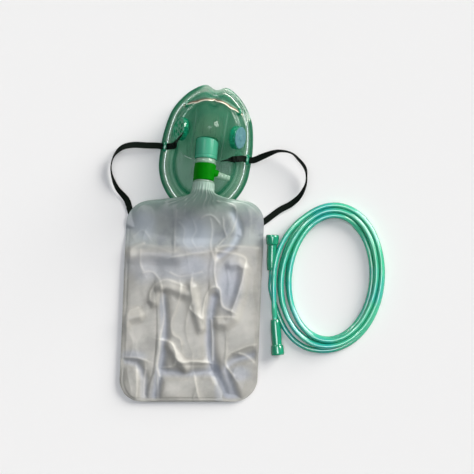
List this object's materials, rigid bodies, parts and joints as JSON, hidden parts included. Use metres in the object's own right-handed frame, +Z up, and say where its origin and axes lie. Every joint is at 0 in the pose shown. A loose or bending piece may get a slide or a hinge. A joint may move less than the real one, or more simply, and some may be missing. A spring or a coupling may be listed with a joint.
{
  "type": "oxygen face mask",
  "caption": "Soft translucent oxygen face mask with a reservoir bag on its port, an elastic head strap and an oval coil of supply tubing beside it",
  "frame": {"origin": "on the flat underside of the reservoir bag, below where its film flattens out, at table height", "axes": "+X to the side with the oxygen barb and the coil, +Y from the bag to the nose end of the mask, +Z up from the table"},
  "size_m": [0.2893, 0.3322, 0.0535],
  "materials": {
    "shell_vinyl": "clear tinted, glossy",
    "clip_metal": "bright rolled strip",
    "valve_rubber": "satin",
    "clear_plastic": "clear, glossy",
    "green_band": "smooth, opaque",
    "bag_film": "frosted soft film",
    "strap_elastic": "flat braided elastic",
    "green_tubing": "clear tinted, glossy"
  },
  "bodies": {
    "root": {"mask_shell": "shell_vinyl", "nose_clip": "clip_metal", "exhalation_flap": "valve_rubber", "connector_body": "clear_plastic", "inhalation_flap": "valve_rubber", "connector_collar": "green_band", "reservoir_bag": "bag_film", "head_strap": "strap_elastic", "tube_coil": "green_tubing", "tube_lead_a": "green_tubing", "tube_lead_b": "green_tubing", "tube_connector_a": "green_tubing", "tube_connector_b": "green_tubing"}
  },
  "joints": []
}
